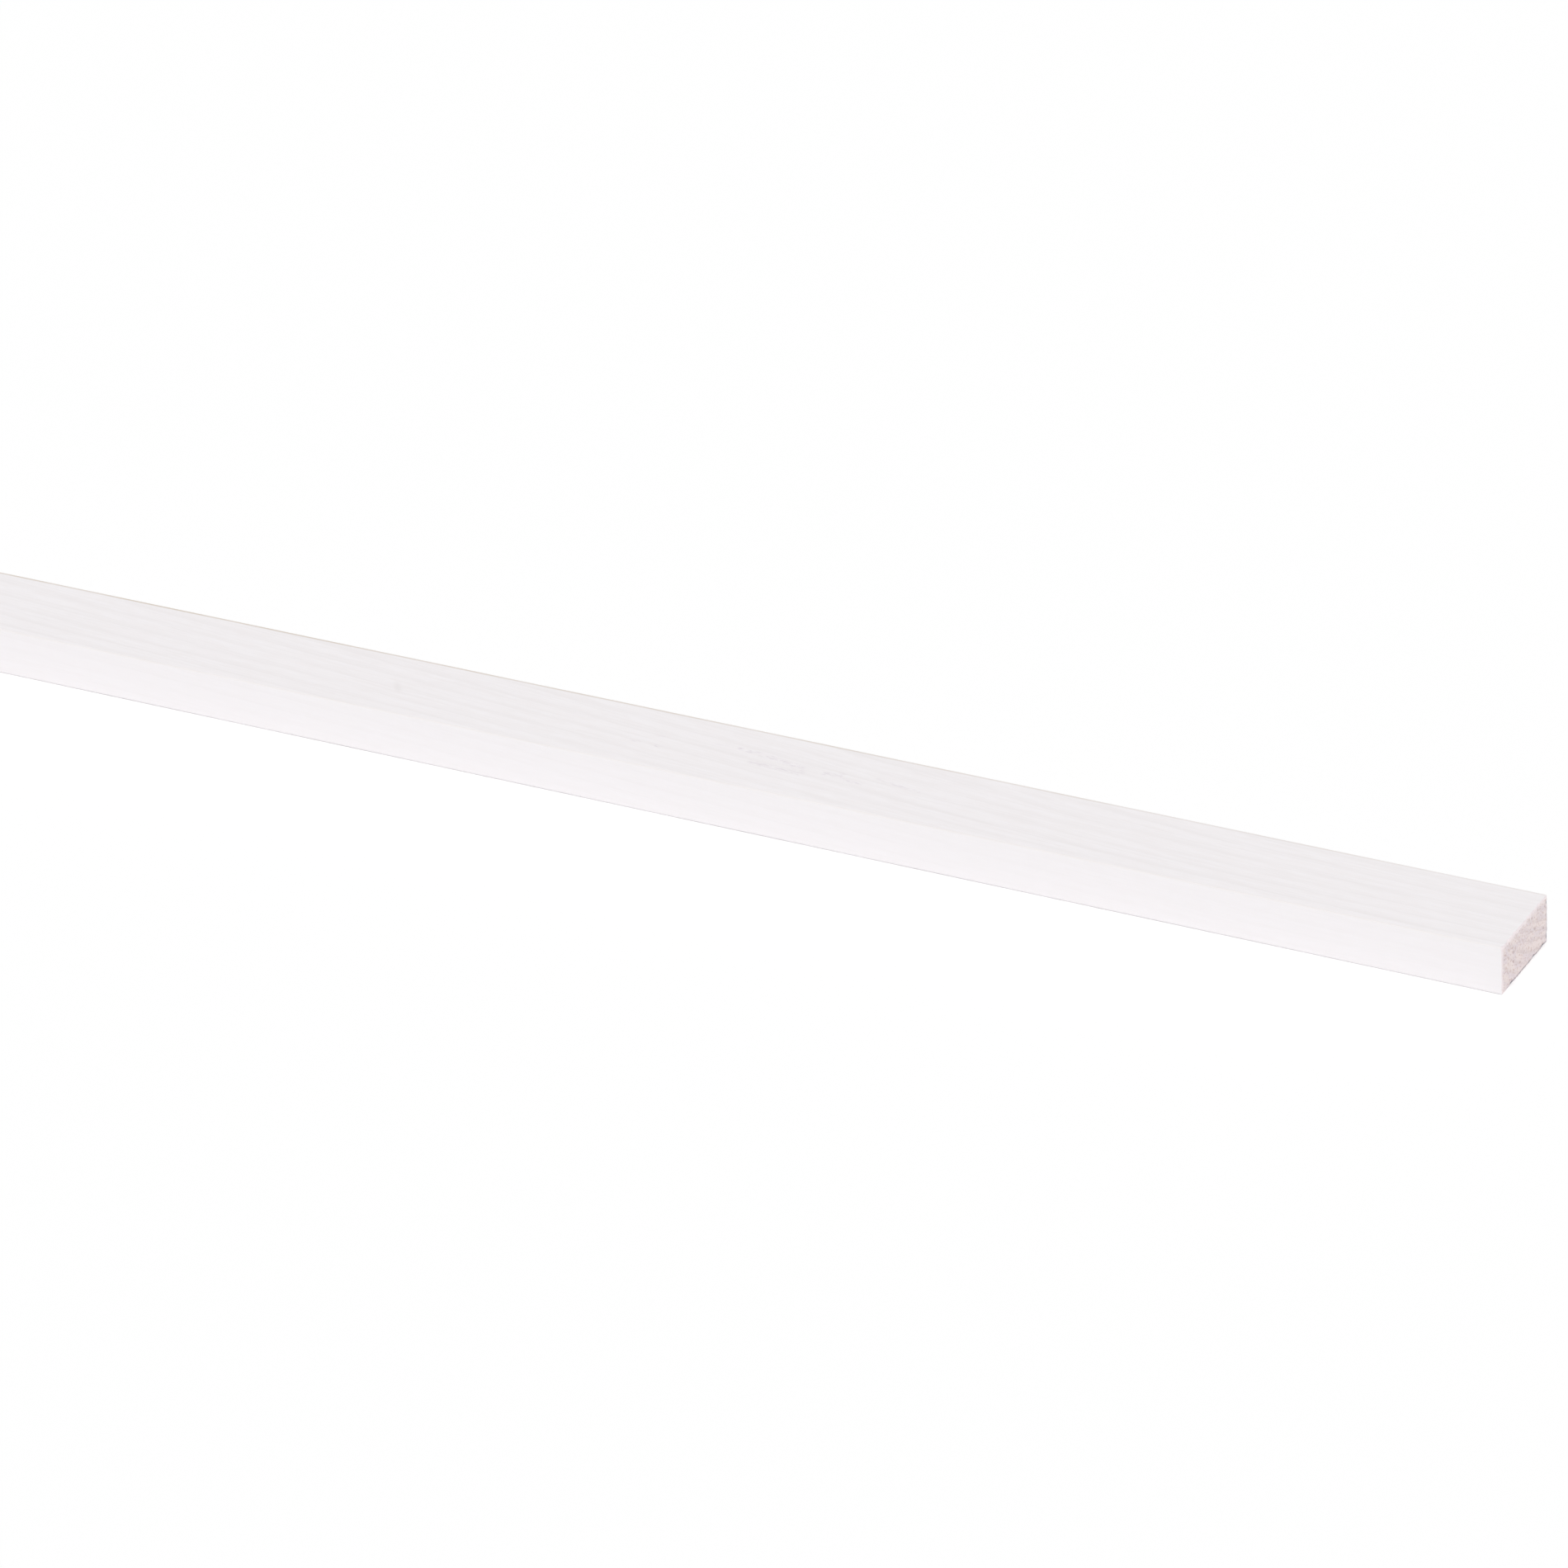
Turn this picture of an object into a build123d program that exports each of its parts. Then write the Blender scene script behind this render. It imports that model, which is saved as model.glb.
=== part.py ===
from build123d import *
import os

# Planed softwood batten: one stick of flat rectangular section, planed on its four long faces
# and cross-cut square at both ends.
#
# All sizes are in millimetres. X runs along the grain, Y across the wide face and Z up.
# The batten lies on a wide face, and the origin is the middle of that face.

# Finished section: nominal 25 x 50 sawn stock after it is planed all round
WIDTH = 45
THICKNESS = 21

# A length that this section is sold in
LENGTH = 2400

# The long arrises are slightly eased, as the planing cutters leave them
ARRIS_RADIUS = 0.5


def planed_section():
    """Outline that the planer leaves: a flat rectangle with its four arrises eased, standing on its bed."""
    on_the_bed = Plane.YZ * Pos(0, THICKNESS / 2)
    return on_the_bed * RectangleRounded(WIDTH, THICKNESS, ARRIS_RADIUS)


def planed_batten():
    """The section run along the grain, with the square faces of the two cross-cuts at its ends."""
    return extrude(planed_section(), amount=LENGTH / 2, both=True)


os.makedirs("parts", exist_ok=True)
batten = planed_batten()
batten.label = "batten"
export_step(batten, "parts/batten.step")
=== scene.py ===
import bisect
import math
import random

import bmesh
import bpy
from mathutils import Matrix, Vector, noise


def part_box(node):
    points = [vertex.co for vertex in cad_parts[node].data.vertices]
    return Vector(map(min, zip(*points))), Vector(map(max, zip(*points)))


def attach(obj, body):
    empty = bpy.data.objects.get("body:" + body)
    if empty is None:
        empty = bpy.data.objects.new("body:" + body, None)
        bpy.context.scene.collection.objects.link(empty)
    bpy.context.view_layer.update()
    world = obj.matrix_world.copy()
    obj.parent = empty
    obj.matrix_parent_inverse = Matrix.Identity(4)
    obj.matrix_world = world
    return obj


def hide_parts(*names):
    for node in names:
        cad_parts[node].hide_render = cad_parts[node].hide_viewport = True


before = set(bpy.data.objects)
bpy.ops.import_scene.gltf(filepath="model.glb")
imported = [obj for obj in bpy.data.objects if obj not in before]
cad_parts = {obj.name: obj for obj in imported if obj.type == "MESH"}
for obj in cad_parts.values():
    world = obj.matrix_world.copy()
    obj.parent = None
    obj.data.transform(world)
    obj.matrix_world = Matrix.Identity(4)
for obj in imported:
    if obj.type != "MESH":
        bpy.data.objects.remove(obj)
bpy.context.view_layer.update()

# Planed softwood batten: white primer on its four planed faces, bare wood on its two sawn ends.
#
# Sizes are in millimetres, in the batten's own frame: X along the grain, Y across the wide face, Z up.
# Places on the wood are measured back from the near end, in from the front edge and up from the bed.
MM = 0.001

LOW, HIGH = (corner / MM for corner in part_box("batten"))
LENGTH, WIDTH, THICKNESS = HIGH - LOW
MIDDLE = (LOW + HIGH) / 2
ARRIS_RADIUS = 0.5

# Growth rings. The stick was cut well away from the pith, which lies above and behind it, so the rings
# cross the section as shallow arcs that descend towards the back. RING_WIDTHS are those that the faces show.
PITH_DISTANCE = 100
PITH_DIRECTION = math.radians(60)
FIRST_RING_RADIUS = 84.7
RING_WIDTHS = (3.4, 4.8, 3.4, 3.6, 4.6, 4.2, 4.3, 4.4, 4.3)
USUAL_RING_WIDTH = 4.1
RING_WIDTH_SPREAD = 0.6
FURTHEST_RING_RADIUS = 260
RING_SEED = 5

# The grain is straight at the near end, bends away at one in ten, and comes back over a long sweep
GRAIN_SLOPE = 0.105
BEND_FROM_END = 115
BEND_SOFTNESS = 80
SWEEP_RADIUS = 826

# Slow wandering of the rings: (size of one waver along, size across, share of a ring that it moves)
WAVERS = ((260, 24, 0.22), (70, 9, 0.10))

# Relief of the planed faces. The primer is thicker on the narrow edges, so less of the grain shows there.
RAISED_GRAIN = 0.03
PLANING_WAVE = 0.03
PLANING_WAVE_LENGTH = 190
PLANING_WAVE_WIDTH = 30
NARROW_EDGE_SHOWS = 0.25

# Painted shade along the upper arrises. On the back one it stands in for the shading of an arris that turns
# away from the light, and is fainter towards the near end. On the front one it dims the arris's highlight.
BACK_LINE_WIDTH = 1.7
BACK_LINE_FADES_OVER = 600
BACK_LINE_LEFT_AT_END = 0.25
FRONT_LINE_WIDTH = 0.9
FRONT_LINE_SHARE = 0.12

# A pin knot that the planer met at a slant, with the grain parting round it. The push on the grain dies away
# in so many half widths of the knot.
KNOT_FROM_END = 501.7
KNOT_FROM_FRONT = 20.2
KNOT_SLANT = math.radians(54)
KNOT_HALF_LENGTH = 5.0
KNOT_HALF_WIDTH = 1.5
KNOT_DISH = 0.03
KNOT_EDGE = (0.1, 1.5)
KNOT_PUSH = 1.0
PUSH_DIES_ALONG = 7
PUSH_DIES_ACROSS = 3
PUSH_DIES_BELOW = 5

# Torn grain on the wide face, as loose strips of flecks: from end, from front, to end, to front, half width,
# and how badly it is torn
TORN_STRIPS = (
    (347, 28.8, 314, 23.4, 1.4, 0.8),
    (338, 20.0, 313, 18.6, 1.3, 1.0),
    (320, 22.6, 313, 21.0, 1.0, 0.6),
    (305, 23.0, 297, 22.6, 1.5, 1.0),
    (300, 25.8, 296, 25.4, 0.7, 0.7),
    (296, 21.6, 287, 20.6, 0.8, 0.8),
    (283, 26.8, 262, 23.8, 0.8, 0.7),
    (391, 17.5, 386, 17.9, 0.8, 0.5),
    (384, 24.3, 379, 25.2, 0.8, 0.5),
    (381, 17.4, 377, 16.8, 0.9, 0.9),
    (356, 28.2, 354, 27.8, 0.7, 0.5),
)
TORN_FLECK = (3.2, 1.6)
TORN_DEPTH = 0.08
TORN_TIP = 1.5
TORN_SIDES = (0.3, 1.6)
TORN_SOFTNESS = 0.3
TORN_BETWEEN_FLECKS = 0.5

# Sawn ends. The soft earlywood is crushed deeper than the latewood, which sets in between two shares of a
# year's growth. The saw's marks fade out over SAW_REACH behind an end.
SAW_REACH = 3.2
SAW_SETBACK = 0.06
CRUSHED_EARLYWOOD = 0.06
LATEWOOD_SETS_IN = (0.35, 0.9)
FIBRE_ROUGHNESS = 0.10
FIBRE_SIZE = 0.8

# Breakout along the upper edge of an end. Its noise is read away from that of the fibres.
BREAKOUT = 0.45
BREAKOUT_SIZE = 1.5
BREAKOUT_REACH = 1.5
BREAKOUT_NOTCH = (0, 0.45)
BREAKOUT_NOISE_AWAY = 7

# Pits, and chips along the edges. The shade is how far a pit goes towards its darkest brown.
PIT_DEPTH = 0.25
PIT_SHADE = 0.5
PIT_EDGE = (0.25, 1.1)
PIT_LENGTHENED = 1.8
PIT_FROM_EDGE = 3
PIT_RADII = (0.5, 0.8)
PIT_SEED = 11
CHIP_DEPTH = 0.2
CHIP_EDGE = (0.4, 1.1)
CHIP_REACH = 1.3
CHIP_FROM_CORNER = 3
CHIP_HALF_LENGTHS = (1.2, 2.2)
CHIP_SEED = 23

# Painted shade along the lower edge of an end and up its back edge, near the bed. It fades in or out between
# two
# distances: in from the edge, back from the front corner, and up from the bed.
EDGE_SHADE_STRENGTH = 0.8
EDGE_SHADE_EDGE = (0.3, 1.1)
EDGE_SHADE_STARTS = (1, 12)
EDGE_SHADE_CLIMBS = (6, 26)
EDGE_SHADE_SPLINTER = 1.6
EDGE_SHADE_SOFTNESS = 0.4
EDGE_SHADE_BETWEEN_SPLINTERS = 0.5

# How far the primer ran over the edges of an end, least and most, and how much less over two of the edges
FRINGE_REACH = (0.2, 2.6)
BACK_EDGE_HELD_BACK = 1
LOWER_EDGE_HELD_BACK = 2

# Pits that the saw tore out of the near end: in from the front, up from the bed, radius
NEAR_END_PITS = (
    (3.0, 14.0, 0.5),
    (7.7, 15.7, 0.6),
    (12.0, 12.7, 0.8),
    (17.7, 14.3, 0.5),
    (11.7, 8.7, 0.7),
    (18.7, 4.7, 0.5),
    (33.3, 11.8, 0.9),
    (41.7, 7.7, 0.7),
    (30.3, 18.0, 0.7),
    (43.2, 16.6, 0.5),
)
FAR_END_PIT_COUNT = 10

# Splinters broken off the near end's lower and back edges: in from the front, up from the bed, half length
NEAR_END_CHIPS = (
    (9.8, 0.0, 2.4),
    (31.9, 0.0, 1.6),
    (40.8, 0.0, 2.4),
    (45.0, 2.8, 2.2),
    (45.0, 17.8, 1.0),
)
FAR_END_CHIP_COUNT = 5

# How closely the mesh is divided, along the stick from the near end: (up to, spacing)
DIVISIONS = (
    (1.6, 0.8),
    (12, 1.3),
    (60, 3.0),
    (255, 4.5),
    (350, 2.0),
    (374, 4.5),
    (394, 2.0),
    (480, 4.5),
    (525, 1.5),
    (700, 5.0),
    (LENGTH - 12, 6.5),
    (LENGTH - 1.6, 1.3),
    (LENGTH, 0.8),
)

# The spacing across the section, and how far behind an end the mesh is twice as fine
ACROSS_SPACING = 0.9
END_ZONE = 1.7

# Parts of the wide face whose spacing is halved: from end, to end, from front, to front
FINE_PATCHES = (
    (255, 350, 15.5, 30),
    (374, 394, 15, 27),
    (494, 510, 15, 26),
)

# Slack for rounding in places and in cuts, and how much of a direction has to lie along an axis for it to
# count as along that axis, or as nearer upright than level
SLACK = 0.01
CUT_SLACK = 1e-5
ALONG_AXIS = 0.9
NEARER_UPRIGHT = 0.7

# The batten's material slots
PRIMED_FACE = 0
SAWN_END = 1

# What the mesh carries for the materials, besides each point's place on the wood
MARKS = ("growth_ring", "grain_shows", "torn_grain", "pin_knot", "fringe_gap", "saw_pit", "painted_edge_shade")

# Latewood lines, in shares of a year's growth: where they set in, where they are darkest, how far they waver
LATEWOOD_DEEPENS_FROM = 0.4
LATEWOOD_DARKEST = 0.94
LATEWOOD_WAVER = 0.2

# A Mix node's sockets where it mixes colours
FROM = 6
TO = 7
COLOUR_MIX = {"output": 2, "data_type": "RGBA"}

# The picture's view: the camera's direction, its roll, and where it sees the near end's lower front corner
CAMERA_AZIMUTH = math.radians(28.97)
CAMERA_ELEVATION = math.radians(28.90)
CAMERA_ROLL = math.radians(-3.04)
CAMERA_LENS = 182.7
CORNER_DISTANCE = 3067
CORNER_RIGHT_OF_AXIS = 276.7
CORNER_BELOW_AXIS = 81.4
CAMERA_SEES_UP_TO = 300_000

# Studio light: the sky, and one large lamp high beside the camera. A sun lamp of strength pi would light a
# white surface that faces it as brightly as white is written.
SKY_STRENGTH = 0.6
KEY_STRENGTH = 0.48 * math.pi
KEY_SIZE = math.radians(20)
KEY_AZIMUTH = math.radians(36)
KEY_ELEVATION = math.radians(56)


# Growth rings

def ring_boundaries():
    """Radii from the pith at which one year's growth ends: those that the faces show, then usual ones."""
    widths = random.Random(RING_SEED)
    radii = [FIRST_RING_RADIUS]
    for width in RING_WIDTHS:
        radii.append(radii[-1] + width)
    while radii[-1] < FURTHEST_RING_RADIUS:
        radii.append(radii[-1] + USUAL_RING_WIDTH + widths.uniform(-1, 1) * RING_WIDTH_SPREAD)
    while radii[0] > 0:
        radii.insert(0, radii[0] - USUAL_RING_WIDTH - widths.uniform(-1, 1) * RING_WIDTH_SPREAD)
    return radii


RING_RADII = ring_boundaries()


def pith_distance(from_end):
    """How far the pith is from the middle of the section, at a distance from the near end."""
    swept = SWEEP_RADIUS * math.sin((from_end - BEND_FROM_END) / SWEEP_RADIUS)
    bent = (math.hypot(swept, BEND_SOFTNESS) + swept) / 2
    return PITH_DISTANCE + GRAIN_SLOPE * bent * math.cos(PITH_DIRECTION)


def place_in_tree(co):
    """Years out from the pith, whose fraction is how far through its growth the year is, and how far round
    the pith the point lies."""
    from_end = HIGH.x - co.x
    from_pith = pith_distance(from_end)
    out_y = co.y - parted_by_knot(co) - MIDDLE.y - from_pith * math.cos(PITH_DIRECTION)
    out_z = co.z - MIDDLE.z - from_pith * math.sin(PITH_DIRECTION)
    radius = math.hypot(out_y, out_z)
    year = bisect.bisect_right(RING_RADII, radius) - 1
    ring = year + (radius - RING_RADII[year]) / (RING_RADII[year + 1] - RING_RADII[year])
    for along, across, share in WAVERS:
        ring += share * noise.noise(Vector((co.x / along, co.y / across, co.z / across)))
    return ring, math.atan2(out_z, out_y) * PITH_DISTANCE


def parted_by_knot(co):
    """How far sideways the knot has pushed the grain that passes it."""
    along = (HIGH.x - co.x - KNOT_FROM_END) / (PUSH_DIES_ALONG * KNOT_HALF_WIDTH)
    across = (co.y - LOW.y - KNOT_FROM_FRONT) / KNOT_HALF_WIDTH
    below = (HIGH.z - co.z) / (PUSH_DIES_BELOW * KNOT_HALF_WIDTH)
    reach = math.exp(-along * along - below * below - abs(across) / PUSH_DIES_ACROSS)
    return KNOT_PUSH * math.tanh(across) * reach


# Marks on the wood, each from 0 where there is none to 1 at its strongest. The edge of a knot, pit or chip,
# and the sides of a torn strip, are the shares of its half size between which it fades.

def fade(value, start, end):
    """0 at start and 1 at end, with a smooth rise between them."""
    share = min(1, max(0, (value - start) / (end - start)))
    return share * share * (3 - 2 * share)


def blotches(place, softness):
    """Blotches that break a mark up: 1 in them and 0 between them, with soft edges."""
    return fade(noise.noise(Vector(place)), -softness, softness)


def knot_mark(from_end, from_front):
    """The pin knot: an oval that lies at a slant across the grain."""
    along = from_end - KNOT_FROM_END
    across = from_front - KNOT_FROM_FRONT
    length = (along * math.cos(KNOT_SLANT) + across * math.sin(KNOT_SLANT)) / KNOT_HALF_LENGTH
    width = (across * math.cos(KNOT_SLANT) - along * math.sin(KNOT_SLANT)) / KNOT_HALF_WIDTH
    return 1 - fade(math.hypot(length, width), *KNOT_EDGE)


def torn_mark(from_end, from_front):
    """Torn grain: the strips, broken into flecks."""
    torn = 0
    for start, start_front, end, end_front, half_width, strength in TORN_STRIPS:
        share = (start - from_end) / (start - end)
        tip = min(share, 1 - share) * (start - end)
        line = start_front + share * (end_front - start_front)
        aside = abs(from_front - line) / half_width
        strip = fade(tip, -TORN_TIP, TORN_TIP) * (1 - fade(aside, *TORN_SIDES))
        torn = max(torn, strip * strength)
    fleck_along, fleck_across = TORN_FLECK
    flecks = blotches((from_end / fleck_along, from_front / fleck_across, 0), TORN_SOFTNESS)
    return torn * (TORN_BETWEEN_FLECKS + (1 - TORN_BETWEEN_FLECKS) * flecks)


def far_end_pits():
    """Pits scattered over the far end, like the near end's."""
    scatter = random.Random(PIT_SEED)
    return [
        (
            scatter.uniform(PIT_FROM_EDGE, WIDTH - PIT_FROM_EDGE),
            scatter.uniform(PIT_FROM_EDGE, THICKNESS - PIT_FROM_EDGE),
            scatter.uniform(*PIT_RADII),
        )
        for _ in range(FAR_END_PIT_COUNT)
    ]


def far_end_chips():
    """Chips along the far end's lower edge, like the near end's."""
    scatter = random.Random(CHIP_SEED)
    return [
        (
            scatter.uniform(CHIP_FROM_CORNER, WIDTH - CHIP_FROM_CORNER),
            0.0,
            scatter.uniform(*CHIP_HALF_LENGTHS),
        )
        for _ in range(FAR_END_CHIP_COUNT)
    ]


def pit_mark(pits, from_front, up):
    """Where the saw has torn a tuft of fibres out of a sawn end. The tufts are wide along the rings."""
    mark = 0
    for pit_front, pit_up, radius in pits:
        aside = from_front - pit_front
        above = up - pit_up
        along_ring = (aside * math.sin(PITH_DIRECTION) - above * math.cos(PITH_DIRECTION)) / PIT_LENGTHENED
        across_ring = aside * math.cos(PITH_DIRECTION) + above * math.sin(PITH_DIRECTION)
        mark = max(mark, 1 - fade(math.hypot(along_ring, across_ring) / radius, *PIT_EDGE))
    return mark


def chip_mark(chips, from_front, up):
    """Where the saw has broken a splinter off an end's lower or back edge, long along that edge."""
    mark = 0
    for chip_front, chip_up, half_length in chips:
        aside = abs(from_front - chip_front)
        above = abs(up - chip_up)
        along, inwards = (aside, above) if chip_up == 0 else (above, aside)
        mark = max(mark, 1 - fade(math.hypot(along / half_length, inwards / CHIP_REACH), *CHIP_EDGE))
    return mark


def painted_edge_shade_mark(from_front, up):
    """Painted shade along an end's lower edge and up its back edge, where it dies out."""
    low = (1 - fade(up, *EDGE_SHADE_EDGE)) * fade(from_front, *EDGE_SHADE_STARTS)
    back = (1 - fade(WIDTH - from_front, *EDGE_SHADE_EDGE)) * (1 - fade(up, *EDGE_SHADE_CLIMBS))
    splinters = blotches((from_front / EDGE_SHADE_SPLINTER, up / EDGE_SHADE_SPLINTER, 0), EDGE_SHADE_SOFTNESS)
    return max(low, back) * (EDGE_SHADE_BETWEEN_SPLINTERS + (1 - EDGE_SHADE_BETWEEN_SPLINTERS) * splinters)


def fringe_gap(from_front, up):
    """How far in from the edges that the primer ran over. It ran least over the back and lower edges."""
    return min(
        THICKNESS - up,
        from_front,
        WIDTH - from_front + BACK_EDGE_HELD_BACK,
        up + LOWER_EDGE_HELD_BACK,
    )


# The stick's mesh

def spaced(start, end, spacing):
    """Evenly spaced places from start to end, both included."""
    count = max(1, round((end - start) / spacing))
    return [start + (end - start) * step / count for step in range(count + 1)]


def section_lines(low, high):
    """Cut lines across one side of the section: the flat between the arrises, and one line in each arris."""
    flat_low = low + ARRIS_RADIUS
    flat_high = high - ARRIS_RADIUS
    into_arris = ARRIS_RADIUS * math.tan(math.pi / 8)
    return [flat_low - into_arris, *spaced(flat_low, flat_high, ACROSS_SPACING), flat_high + into_arris]


def cut(bm, normal, places):
    """Cuts everything by planes square to one axis."""
    for place in places:
        everything = [*bm.verts, *bm.edges, *bm.faces]
        bmesh.ops.bisect_plane(bm, geom=everything, dist=CUT_SLACK, plane_co=normal * place, plane_no=normal)


def divide_along(bm, start, end, spacing):
    """Divides the edges that run along the stick between two distances from the near end."""
    low_x = HIGH.x - end - SLACK
    high_x = HIGH.x - start + SLACK
    edges = [
        edge for edge in bm.edges
        if all(low_x < vert.co.x < high_x for vert in edge.verts)
        and abs(edge.verts[0].co.x - edge.verts[1].co.x) > SLACK
    ]
    cuts = max(1, round((end - start) / spacing)) - 1
    if cuts:
        bmesh.ops.subdivide_edges(bm, edges=edges, cuts=cuts, use_grid_fill=True)


def divide_ends(bm):
    """Halves the mesh spacing on the sawn ends and the wood just behind them."""
    edges = [edge for edge in bm.edges if all(end_gap(vert.co) < END_ZONE for vert in edge.verts)]
    bmesh.ops.subdivide_edges(bm, edges=edges, cuts=1, use_grid_fill=True)


def divide_patches(bm):
    """Halves the mesh spacing on the wide face round the torn grain and the knot."""
    for start, end, start_front, end_front in FINE_PATCHES:
        edges = [
            edge for edge in bm.edges
            if all(
                HIGH.z - vert.co.z < SLACK
                and start < HIGH.x - vert.co.x < end
                and start_front < vert.co.y - LOW.y < end_front
                for vert in edge.verts
            )
        ]
        bmesh.ops.subdivide_edges(bm, edges=edges, cuts=1, use_grid_fill=True)


def end_gap(co):
    """Distance to the nearer sawn end."""
    return min(HIGH.x - co.x, co.x - LOW.x)


def side_gap(co):
    """Distance in from the nearest long face."""
    return min(HIGH.y - co.y, co.y - LOW.y, HIGH.z - co.z, co.z - LOW.z)


def ease_arris(co):
    """Rounds the lattice's square corners: the point's place in the eased section, and the way out of
    the wood."""
    over_y = abs(co.y - MIDDLE.y) - (WIDTH / 2 - ARRIS_RADIUS)
    over_z = abs(co.z - MIDDLE.z) - (THICKNESS / 2 - ARRIS_RADIUS)
    side_y = math.copysign(1, co.y - MIDDLE.y)
    side_z = math.copysign(1, co.z - MIDDLE.z)
    if over_y > 0 and over_z > 0:
        share = max(over_y, over_z) / math.hypot(over_y, over_z)
        eased = co - Vector((0, side_y * over_y * (1 - share), side_z * over_z * (1 - share)))
        return eased, Vector((0, side_y * over_y, side_z * over_z)).normalized()
    if over_y > over_z:
        return co.copy(), Vector((0, side_y, 0))
    return co.copy(), Vector((0, 0, side_z))


def planed_relief(co, ring, grain_shows):
    """How far a planed face lies inside the CAD face: raised latewood, and slow waves from the planer."""
    latewood = 0.5 - 0.5 * math.cos(2 * math.pi * ring)
    wave_place = (co.x / PLANING_WAVE_LENGTH, co.y / PLANING_WAVE_WIDTH, co.z / PLANING_WAVE_WIDTH)
    wave = 0.5 + 0.5 * noise.noise(Vector(wave_place))
    return RAISED_GRAIN * grain_shows * latewood + PLANING_WAVE * wave


def sawn_relief(co, ring, pit, chip):
    """How far a sawn end lies inside the CAD face: crushed earlywood, loose fibres, pits, chips, and the
    breakout along the upper edge, where the blade left the wood."""
    latewood = fade(ring % 1, *LATEWOOD_SETS_IN)
    fibres = 0.5 + 0.5 * noise.noise(Vector((co.x, co.y / FIBRE_SIZE, co.z / FIBRE_SIZE)))
    broken_place = (co.x + BREAKOUT_NOISE_AWAY, co.y / BREAKOUT_SIZE, co.z / BREAKOUT_SIZE)
    broken = fade(noise.noise(Vector(broken_place)), *BREAKOUT_NOTCH)
    breakout = BREAKOUT * broken * (1 - fade(HIGH.z - co.z, 0, BREAKOUT_REACH))
    return (
        SAW_SETBACK
        + CRUSHED_EARLYWOOD * (1 - latewood)
        + FIBRE_ROUGHNESS * fibres
        + PIT_DEPTH * pit
        + CHIP_DEPTH * chip
        + breakout
    )


def shape_and_mark(bm):
    """Moves every point to its place on the worn surface, and writes the marks that the materials read."""
    wood_place = bm.verts.layers.float_vector.new("wood_place")
    marks = {name: bm.verts.layers.float.new(name) for name in MARKS}
    pits = {1: NEAR_END_PITS, -1: far_end_pits()}
    chips = {1: NEAR_END_CHIPS, -1: far_end_chips()}
    for vert in bm.verts:
        co = vert.co.copy()
        from_end = HIGH.x - co.x
        from_front = co.y - LOW.y
        up = co.z - LOW.z
        end = 1 if co.x > MIDDLE.x else -1
        ring, around = place_in_tree(co)
        eased, outward = ease_arris(co)
        grain_shows = 1 if abs(outward.z) > NEARER_UPRIGHT else NARROW_EDGE_SHOWS
        on_wide_face = outward.z > ALONG_AXIS and side_gap(co) < SLACK
        torn = torn_mark(from_end, from_front) if on_wide_face else 0
        knot = knot_mark(from_end, from_front) if on_wide_face else 0
        pit, chip = 0, 0
        if side_gap(co) < SLACK:
            eased -= outward * (planed_relief(co, ring, grain_shows) + TORN_DEPTH * torn + KNOT_DISH * knot)
        near_saw = 1 - fade(end_gap(co), 0, SAW_REACH)
        if near_saw > 0:
            pit = pit_mark(pits[end], from_front, up)
            chip = chip_mark(chips[end], from_front, up)
            at_end = Vector((MIDDLE.x + end * LENGTH / 2, co.y, co.z))
            eased.x -= end * near_saw * sawn_relief(at_end, ring, pit, chip)
        vert[wood_place] = Vector((from_end, ring * USUAL_RING_WIDTH, around)) * MM
        vert[marks["growth_ring"]] = ring
        vert[marks["grain_shows"]] = grain_shows
        vert[marks["torn_grain"]] = torn
        vert[marks["pin_knot"]] = knot
        vert[marks["fringe_gap"]] = max(end_gap(co), fringe_gap(from_front, up))
        vert[marks["saw_pit"]] = pit
        # Painted shade: the chips are darkened as if shaded, and shade is painted along the end's lower and
        # back edges
        vert[marks["painted_edge_shade"]] = max(chip, EDGE_SHADE_STRENGTH * painted_edge_shade_mark(from_front, up)) if near_saw > 0 else 0
        vert.co = eased


def batten_mesh():
    """A box of the CAD stick's size, divided where the wood has detail and shaped to its worn surface."""
    bm = bmesh.new()
    bmesh.ops.create_cube(bm, size=1)
    bmesh.ops.scale(bm, vec=(LENGTH, WIDTH, THICKNESS), verts=bm.verts)
    bmesh.ops.translate(bm, vec=MIDDLE, verts=bm.verts)
    cut(bm, Vector((0, 1, 0)), section_lines(LOW.y, HIGH.y))
    cut(bm, Vector((0, 0, 1)), section_lines(LOW.z, HIGH.z))
    cut(bm, Vector((1, 0, 0)), [HIGH.x - end for end, _ in DIVISIONS[:-1]])
    start = 0
    for end, spacing in DIVISIONS:
        divide_along(bm, start, end, spacing)
        start = end
    divide_ends(bm)
    divide_patches(bm)
    bm.normal_update()
    for face in bm.faces:
        face.smooth = True
        face.material_index = SAWN_END if abs(face.normal.x) > ALONG_AXIS else PRIMED_FACE
    for edge in bm.edges:
        edge.smooth = len({face.material_index for face in edge.link_faces}) == 1
    shape_and_mark(bm)
    bmesh.ops.scale(bm, vec=(MM, MM, MM), verts=bm.verts)
    mesh = bpy.data.meshes.new("primed_batten")
    bm.to_mesh(mesh)
    bm.free()
    return mesh


# Materials

def colour(hex_code):
    """Linear RGBA of an sRGB hex colour."""
    channels = [int(hex_code[place:place + 2], 16) / 255 for place in (0, 2, 4)]
    linear = [c / 12.92 if c <= 0.04045 else ((c + 0.055) / 1.055) ** 2.4 for c in channels]
    return (*linear, 1)


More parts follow.
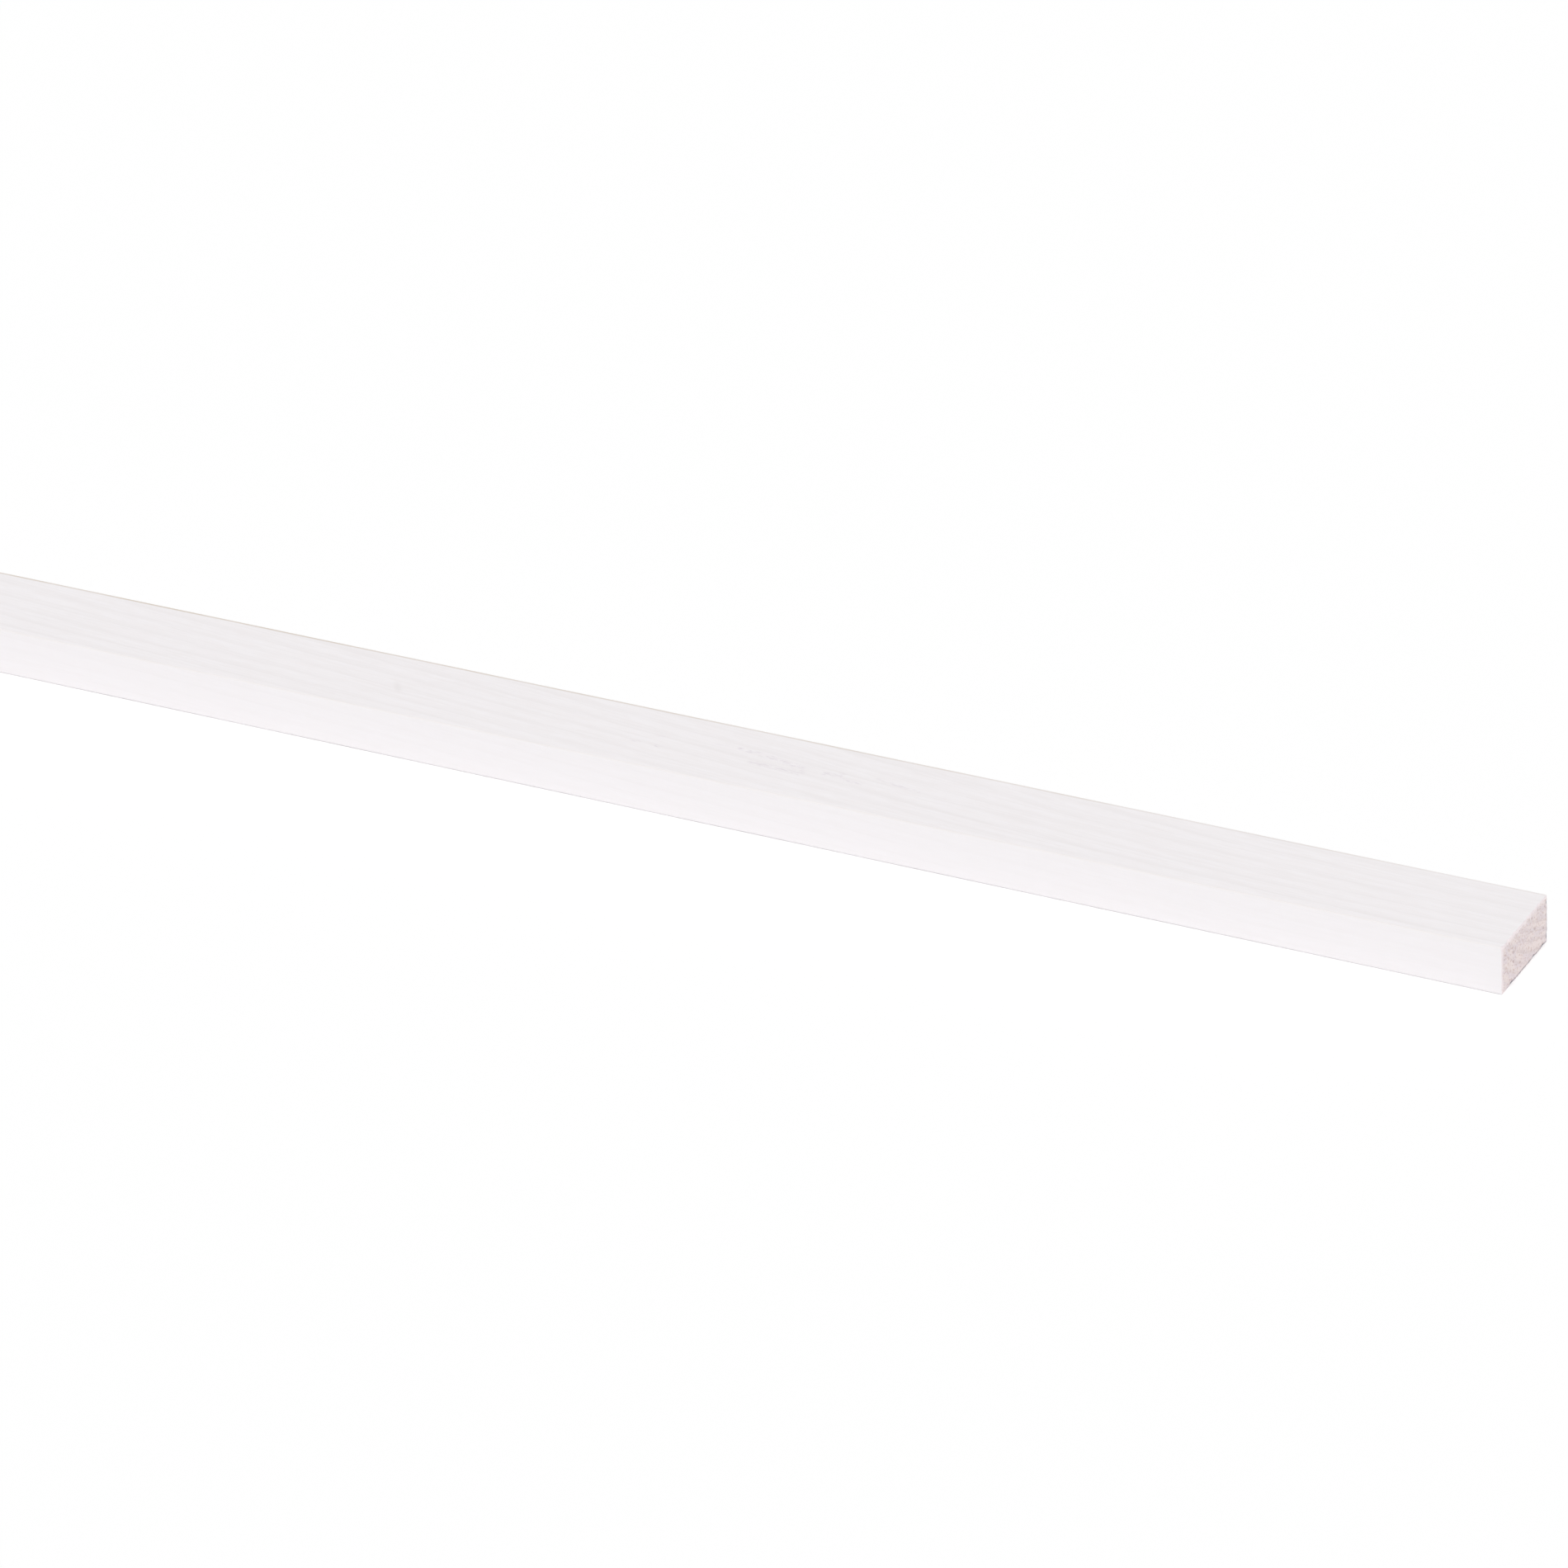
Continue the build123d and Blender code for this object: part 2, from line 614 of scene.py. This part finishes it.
def add(tree, kind, inputs=None, output=0, **settings):
    """Adds a node with its settings, gives its inputs their values or links, and returns one of its
    outputs."""
    node = tree.nodes.new("ShaderNode" + kind)
    for name, value in settings.items():
        setattr(node, name, value)
    for name, value in (inputs or {}).items():
        if isinstance(value, bpy.types.NodeSocket):
            tree.links.new(value, node.inputs[name])
        else:
            node.inputs[name].default_value = value
    return node.outputs[output] if node.outputs else None


def finish(name):
    """A new material by the name of its finish, and the empty tree that its nodes go into."""
    material = bpy.data.materials.new(name)
    material.use_nodes = True
    material.node_tree.nodes.clear()
    return material, material.node_tree


def wood_noise(tree, along, across, around, detail=2.0, roughness=0.5):
    """Noise that follows the wood, in cells of a real size: millimetres along the grain, across the growth
    rings and round the pith."""
    place = add(tree, "Attribute", output="Vector", attribute_name="wood_place")
    size = (along * MM, across * MM, around * MM)
    cells = add(tree, "Mapping", {"Vector": place, "Scale": size}, vector_type="TEXTURE")
    return add(tree, "TexNoise", {"Vector": cells, "Scale": 1.0, "Detail": detail, "Roughness": roughness})


def surface_noise(tree, size, detail=2.0, roughness=0.5):
    """Noise that is alike in every direction, in cells of a real size in millimetres."""
    place = add(tree, "TexCoord", output="Object")
    scale = 1 / (size * MM)
    return add(tree, "TexNoise", {"Vector": place, "Scale": scale, "Detail": detail, "Roughness": roughness})


def latewood_lines(tree):
    """The dark end of each year's growth. It deepens slowly and stops sharply, some years are fainter than
    others, and each line fades in and out along the grain."""
    waver = wood_noise(tree, along=45, across=2.0, around=9)
    ring = add(tree, "Attribute", output="Fac", attribute_name="growth_ring")
    ring = add(tree, "Math", {0: waver, 1: LATEWOOD_WAVER, 2: ring}, operation="MULTIPLY_ADD")
    phase = add(tree, "Math", {0: ring}, operation="FRACT")
    rise = {"Value": phase, "From Min": LATEWOOD_DEEPENS_FROM, "From Max": LATEWOOD_DARKEST}
    rise = add(tree, "MapRange", rise, interpolation_type="SMOOTHSTEP")
    stop = {"Value": phase, "From Min": LATEWOOD_DARKEST, "From Max": 1.0, "To Min": 1.0, "To Max": 0.0}
    stop = add(tree, "MapRange", stop, interpolation_type="SMOOTHSTEP")
    year = add(tree, "Math", {0: ring}, operation="FLOOR")
    yearly = add(tree, "TexWhiteNoise", {"W": year}, noise_dimensions="1D")
    yearly = add(tree, "MapRange", {"Value": yearly, "To Min": 0.5, "To Max": 1.0})
    broken = wood_noise(tree, along=32, across=1.2, around=12, detail=3.0, roughness=0.6)
    broken = {"Value": broken, "From Min": 0.32, "From Max": 0.62, "To Min": 0.25, "To Max": 1.0}
    broken = add(tree, "MapRange", broken, interpolation_type="SMOOTHSTEP")
    line = add(tree, "Math", {0: rise, 1: stop}, operation="MULTIPLY")
    line = add(tree, "Math", {0: line, 1: yearly}, operation="MULTIPLY")
    return add(tree, "Math", {0: line, 1: broken}, operation="MULTIPLY")


def line_along_arris(tree, side, width):
    """1 along an upper arris and 0 past a width in millimetres. The side is the arris's Y."""
    place = add(tree, "TexCoord", output="Object")
    arris = Vector((0, side, HIGH.z)) * MM
    from_arris = add(tree, "Mapping", {"Vector": place, "Scale": (0, 1, 1), "Location": -arris})
    gap = add(tree, "VectorMath", {0: from_arris}, output="Value", operation="LENGTH")
    line = {"Value": gap, "From Min": 0.5 * width * MM, "From Max": width * MM, "To Min": 1.0, "To Max": 0.0}
    return add(tree, "MapRange", line, interpolation_type="SMOOTHSTEP")


def painted_shade_on_back_arris(tree):
    """Painted shade along the upper back arris, in place of the shading of an arris that turns away from the
    light. It is fainter towards the near end.
    """
    place = add(tree, "TexCoord", output="Object")
    along = add(tree, "SeparateXYZ", {"Vector": place}, output="X")
    stronger = {"Value": along, "From Min": (HIGH.x - BACK_LINE_FADES_OVER) * MM, "From Max": HIGH.x * MM}
    stronger = add(tree, "MapRange", {**stronger, "To Min": 1.0, "To Max": BACK_LINE_LEFT_AT_END})
    uneven = wood_noise(tree, along=40, across=20, around=20, detail=4.0, roughness=0.6)
    uneven = add(tree, "MapRange", {"Value": uneven, "From Min": 0.35, "From Max": 0.6, "To Min": 0.6})
    line = line_along_arris(tree, HIGH.y, BACK_LINE_WIDTH)
    line = add(tree, "Math", {0: line, 1: stronger}, operation="MULTIPLY")
    return add(tree, "Math", {0: line, 1: uneven}, operation="MULTIPLY")


def white_primer_on_planed_spruce():
    """Water-based primer, sprayed thinly over planed spruce. It is a soft white with a low sheen. The
    latewood shows through as faint warm grey lines, and it is greyer where the planer tore the grain."""
    primer = colour("f2eff1")
    thin_primer = colour("efebec")
    latewood_shows = colour("ebe7e8")
    fibre_shows = colour("ebe7e8")
    torn_grey = colour("dad2d9")
    knot_grey = colour("e9e5e6")
    # Painted shade for the upper arrises
    painted_arris_shade = colour("d3c8bc")
    material, tree = finish("white_primer_on_planed_spruce")
    shows = add(tree, "Attribute", output="Fac", attribute_name="grain_shows")

    # The coat is of uneven thickness, less so on the narrow edges
    clouds = wood_noise(tree, along=11, across=1.5, around=5, detail=4.0, roughness=0.6)
    clouds = add(tree, "MapRange", {"Value": clouds, "From Min": 0.3, "From Max": 0.7})
    milder = add(tree, "MapRange", {"Value": shows, "To Min": 0.25, "To Max": 1.0})
    clouds = add(tree, "Math", {0: clouds, 1: milder}, operation="MULTIPLY")
    tone = add(tree, "Mix", {"Factor": clouds, FROM: primer, TO: thin_primer}, **COLOUR_MIX)

    # Latewood that shows through
    latewood = latewood_lines(tree)
    latewood = add(tree, "Math", {0: latewood, 1: shows}, operation="MULTIPLY")
    tone = add(tree, "Mix", {"Factor": latewood, FROM: tone, TO: latewood_shows}, **COLOUR_MIX)

    # A fibre is about 0.03 mm wide, too fine to show, so these streaks are bundles of fibres
    fibres = wood_noise(tree, along=40, across=0.55, around=6, detail=3.0, roughness=0.6)
    streaks = {"Value": fibres, "From Min": 0.46, "From Max": 0.7, "To Max": 0.55}
    streaks = add(tree, "MapRange", streaks, interpolation_type="SMOOTHSTEP")
    streaks = add(tree, "Math", {0: streaks, 1: shows}, operation="MULTIPLY")
    tone = add(tree, "Mix", {"Factor": streaks, FROM: tone, TO: fibre_shows}, **COLOUR_MIX)

    # Flecks of torn grain
    torn = add(tree, "Attribute", output="Fac", attribute_name="torn_grain")
    flecks = wood_noise(tree, along=2.8, across=0.45, around=1.6, detail=3.0, roughness=0.6)
    flecks = {"Value": flecks, "From Min": 0.4, "From Max": 0.66}
    flecks = add(tree, "MapRange", flecks, interpolation_type="SMOOTHSTEP")
    torn = add(tree, "Math", {0: torn, 1: flecks}, operation="MULTIPLY")
    tone = add(tree, "Mix", {"Factor": torn, FROM: tone, TO: torn_grey}, **COLOUR_MIX)

    # The knot, and painted shade along the upper arrises: the back arris's shading, and a little on the
    # front arris to dim its highlight
    knot = add(tree, "Attribute", output="Fac", attribute_name="pin_knot")
    tone = add(tree, "Mix", {"Factor": knot, FROM: tone, TO: knot_grey}, **COLOUR_MIX)
    back_arris_shade = painted_shade_on_back_arris(tree)
    tone = add(tree, "Mix", {"Factor": back_arris_shade, FROM: tone, TO: painted_arris_shade}, **COLOUR_MIX)
    front_arris_shade = line_along_arris(tree, LOW.y, FRONT_LINE_WIDTH)
    front_arris_shade = add(tree, "Math", {0: front_arris_shade, 1: FRONT_LINE_SHARE}, operation="MULTIPLY")
    tone = add(tree, "Mix", {"Factor": front_arris_shade, FROM: tone, TO: painted_arris_shade}, **COLOUR_MIX)

    # The stipple of a sprayed coat, raised fibres and latewood, and hollows where the grain is torn
    stipple = surface_noise(tree, size=0.5)
    normal = add(tree, "Bump", {"Height": stipple, "Distance": 0.012 * MM})
    normal = add(tree, "Bump", {"Height": fibres, "Distance": 0.02 * MM, "Normal": normal})
    normal = add(tree, "Bump", {"Height": latewood, "Distance": 0.01 * MM, "Normal": normal})
    normal = add(tree, "Bump", {"Height": torn, "Distance": -0.05 * MM, "Normal": normal})
    coat = {"Base Color": tone, "Roughness": 0.5, "IOR": 1.5, "Normal": normal}
    add(tree, "OutputMaterial", {"Surface": add(tree, "BsdfPrincipled", coat)})
    return material


def bare_sawn_spruce_end_grain():
    """Spruce cut across with a circular saw. The ends of the fibres scatter light, so it is quite matt. It
    is pinkish cream with faint latewood arcs, a speckle of torn fibres, brownish pits, painted grey shade in
    its chips and along the lower and back edges, and a ragged fringe of primer."""
    earlywood = colour("eadedc")
    mauve_earlywood = colour("e2d7da")
    latewood_tone = colour("d9cccb")
    fibre_dark = colour("b9988f")
    fibre_light = colour("f2e8e7")
    pit_brown = colour("a8928f")
    # Painted shade for the chips and the lower and back edges
    painted_edge_shade_grey = colour("8a858d")
    primer_fringe = colour("f3e9eb")
    material, tree = finish("bare_sawn_spruce_end_grain")

    # Earlywood in two tones, and the latewood arcs over it
    mauve = wood_noise(tree, along=6, across=3.0, around=8)
    mauve = add(tree, "MapRange", {"Value": mauve, "From Min": 0.42, "From Max": 0.58})
    tone = add(tree, "Mix", {"Factor": mauve, FROM: earlywood, TO: mauve_earlywood}, **COLOUR_MIX)
    latewood = latewood_lines(tree)
    tone = add(tree, "Mix", {"Factor": latewood, FROM: tone, TO: latewood_tone}, **COLOUR_MIX)

    # Single fibres are too fine to show here too, so the speckle is of dark and light tufts of them
    fibres = wood_noise(tree, along=6, across=0.95, around=1.6, detail=4.0, roughness=0.65)
    dark = {"Value": fibres, "From Min": 0.52, "From Max": 0.66, "To Max": 0.62}
    dark = add(tree, "MapRange", dark, interpolation_type="SMOOTHSTEP")
    tone = add(tree, "Mix", {"Factor": dark, FROM: tone, TO: fibre_dark}, **COLOUR_MIX)
    light = {"Value": fibres, "From Min": 0.48, "From Max": 0.28, "To Max": 0.45}
    light = add(tree, "MapRange", light, interpolation_type="SMOOTHSTEP")
    tone = add(tree, "Mix", {"Factor": light, FROM: tone, TO: fibre_light}, **COLOUR_MIX)

    # The primer that ran over the edges, with a ragged limit
    fringe_gap = add(tree, "Attribute", output="Fac", attribute_name="fringe_gap")
    reach = surface_noise(tree, size=2.4, detail=3.0, roughness=0.6)
    least, most = FRINGE_REACH
    reach = {"Value": reach, "From Min": 0.3, "From Max": 0.7, "To Min": least, "To Max": most}
    reach = add(tree, "MapRange", reach)
    inside = add(tree, "Math", {0: reach, 1: fringe_gap}, operation="SUBTRACT")
    fringe = {"Value": inside, "From Min": -0.9, "From Max": 0.6, "To Max": 0.95}
    fringe = add(tree, "MapRange", fringe, interpolation_type="SMOOTHSTEP")
    tone = add(tree, "Mix", {"Factor": fringe, FROM: tone, TO: primer_fringe}, **COLOUR_MIX)

    # Pits, painted shade in the chips and along the lower and back edges, and the roughness that the saw
    # left
    pits = add(tree, "Attribute", output="Fac", attribute_name="saw_pit")
    pits = add(tree, "Math", {0: pits, 1: PIT_SHADE}, operation="MULTIPLY")
    tone = add(tree, "Mix", {"Factor": pits, FROM: tone, TO: pit_brown}, **COLOUR_MIX)
    painted_edge_shade = add(tree, "Attribute", output="Fac", attribute_name="painted_edge_shade")
    tone = add(tree, "Mix", {"Factor": painted_edge_shade, FROM: tone, TO: painted_edge_shade_grey}, **COLOUR_MIX)

    normal = add(tree, "Bump", {"Height": fibres, "Distance": 0.1 * MM})
    wood = {"Base Color": tone, "Roughness": 0.85, "IOR": 1.45, "Normal": normal}
    add(tree, "OutputMaterial", {"Surface": add(tree, "BsdfPrincipled", wood)})
    return material


def matt_white_paper():
    """The studio's paper sweep: plain white with no sheen."""
    material, tree = finish("matt_white_paper")
    paper = {"Base Color": colour("ffffff"), "Roughness": 1.0, "Specular IOR Level": 0.0}
    add(tree, "OutputMaterial", {"Surface": add(tree, "BsdfPrincipled", paper)})
    return material


# The batten

def primed_batten():
    """The stick with its primed faces and bare ends, in place of the plain CAD solid."""
    batten = bpy.data.objects.new("primed_batten", batten_mesh())
    bpy.context.scene.collection.objects.link(batten)
    batten.data.materials.append(white_primer_on_planed_spruce())
    batten.data.materials.append(bare_sawn_spruce_end_grain())
    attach(batten, "root")
    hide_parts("batten")


# Floor, light and camera

def paper_floor():
    """A level floor that reaches past every view. It is just below the bed face, so that the two never
    share a plane."""
    half_size = 100_000
    below = 0.05
    bm = bmesh.new()
    bmesh.ops.create_grid(bm, x_segments=1, y_segments=1, size=half_size * MM)
    bmesh.ops.translate(bm, vec=(0, 0, -below * MM), verts=bm.verts)
    mesh = bpy.data.meshes.new("paper_floor")
    bm.to_mesh(mesh)
    bm.free()
    floor = bpy.data.objects.new("paper_floor", mesh)
    bpy.context.scene.collection.objects.link(floor)
    mesh.materials.append(matt_white_paper())


def direction(azimuth, elevation):
    """The way towards a camera or lamp that looks along +Y at azimuth 0."""
    return Vector((
        math.sin(azimuth) * math.cos(elevation),
        -math.cos(azimuth) * math.cos(elevation),
        math.sin(elevation),
    ))


def soft_sky():
    """Even light from all round. What looks straight at it, or mirrors it, sees plain white."""
    world = bpy.data.worlds.new("soft_sky")
    bpy.context.scene.world = world
    world.use_nodes = True
    tree = world.node_tree
    tree.nodes.clear()
    rays = add(tree, "LightPath").node.outputs
    seen = add(tree, "Math", {0: rays["Is Camera Ray"], 1: rays["Is Glossy Ray"]}, operation="ADD")
    seen = add(tree, "Math", {0: seen, 1: rays["Is Transmission Ray"]}, operation="MAXIMUM")
    light = add(tree, "Background", {"Color": colour("ffffff"), "Strength": SKY_STRENGTH})
    white = add(tree, "Background", {"Color": colour("ffffff"), "Strength": 1.0})
    both = add(tree, "MixShader", {"Fac": seen, 1: light, 2: white})
    add(tree, "OutputWorld", {"Surface": both})


def key_light():
    """One large soft lamp, high beside the camera. It is far off, so it lights the whole length alike."""
    lamp = bpy.data.lights.new("key_light", "SUN")
    lamp.energy = KEY_STRENGTH
    lamp.angle = KEY_SIZE
    key = bpy.data.objects.new("key_light", lamp)
    bpy.context.scene.collection.objects.link(key)
    towards = direction(KEY_AZIMUTH, KEY_ELEVATION)
    key.rotation_mode = "QUATERNION"
    key.rotation_quaternion = towards.to_track_quat("Z", "Y")


def photo_camera():
    """The picture's camera, placed by where it sees the near end's lower front corner."""
    back = direction(CAMERA_AZIMUTH, CAMERA_ELEVATION)
    level = Vector((0, 0, 1)).cross(back).normalized()
    upright = back.cross(level)
    right = level * math.cos(CAMERA_ROLL) + upright * math.sin(CAMERA_ROLL)
    up = upright * math.cos(CAMERA_ROLL) - level * math.sin(CAMERA_ROLL)
    corner = Vector((HIGH.x, LOW.y, LOW.z))
    place = corner - right * CORNER_RIGHT_OF_AXIS + up * CORNER_BELOW_AXIS + back * CORNER_DISTANCE
    lens = bpy.data.cameras.new("photo_camera")
    lens.lens = CAMERA_LENS
    lens.clip_end = CAMERA_SEES_UP_TO * MM
    camera = bpy.data.objects.new("photo_camera", lens)
    bpy.context.scene.collection.objects.link(camera)
    turn = Matrix((right, up, back)).transposed()
    camera.matrix_world = Matrix.Translation(place * MM) @ turn.to_4x4()
    bpy.context.scene.camera = camera


primed_batten()
paper_floor()
soft_sky()
key_light()
photo_camera()
bpy.context.scene.view_settings.view_transform = "Standard"
